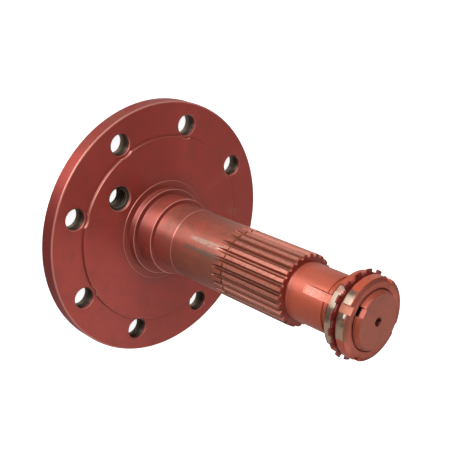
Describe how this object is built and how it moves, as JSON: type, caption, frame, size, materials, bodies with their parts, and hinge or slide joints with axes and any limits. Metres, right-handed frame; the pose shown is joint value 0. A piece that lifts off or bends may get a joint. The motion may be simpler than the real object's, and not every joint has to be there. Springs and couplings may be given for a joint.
{
  "type": "wheel axle shaft",
  "caption": "Flanged wheel axle shaft with a splined body and a threaded, keyed end that carries slotted ring nuts and a tabbed lock washer.",
  "frame": {"origin": "centre of the flange's outboard face, the part's lowest point", "axes": "+Z along the shaft from the flange to the threaded end; the keyway faces near -Y"},
  "size_m": [0.2464, 0.2464, 0.2776],
  "materials": {
    "red_primer": "semi-gloss red primer over steel",
    "worn_nut": "red primer worn through to steel",
    "tab_red": "semi-gloss red primer",
    "nut_red": "red primer with patches worn to steel"
  },
  "bodies": {
    "root": {"axle_shaft": "red_primer", "inner_ring_nut": "worn_nut", "tab_lock_washer": "tab_red", "outer_ring_nut": "nut_red"}
  },
  "joints": []
}
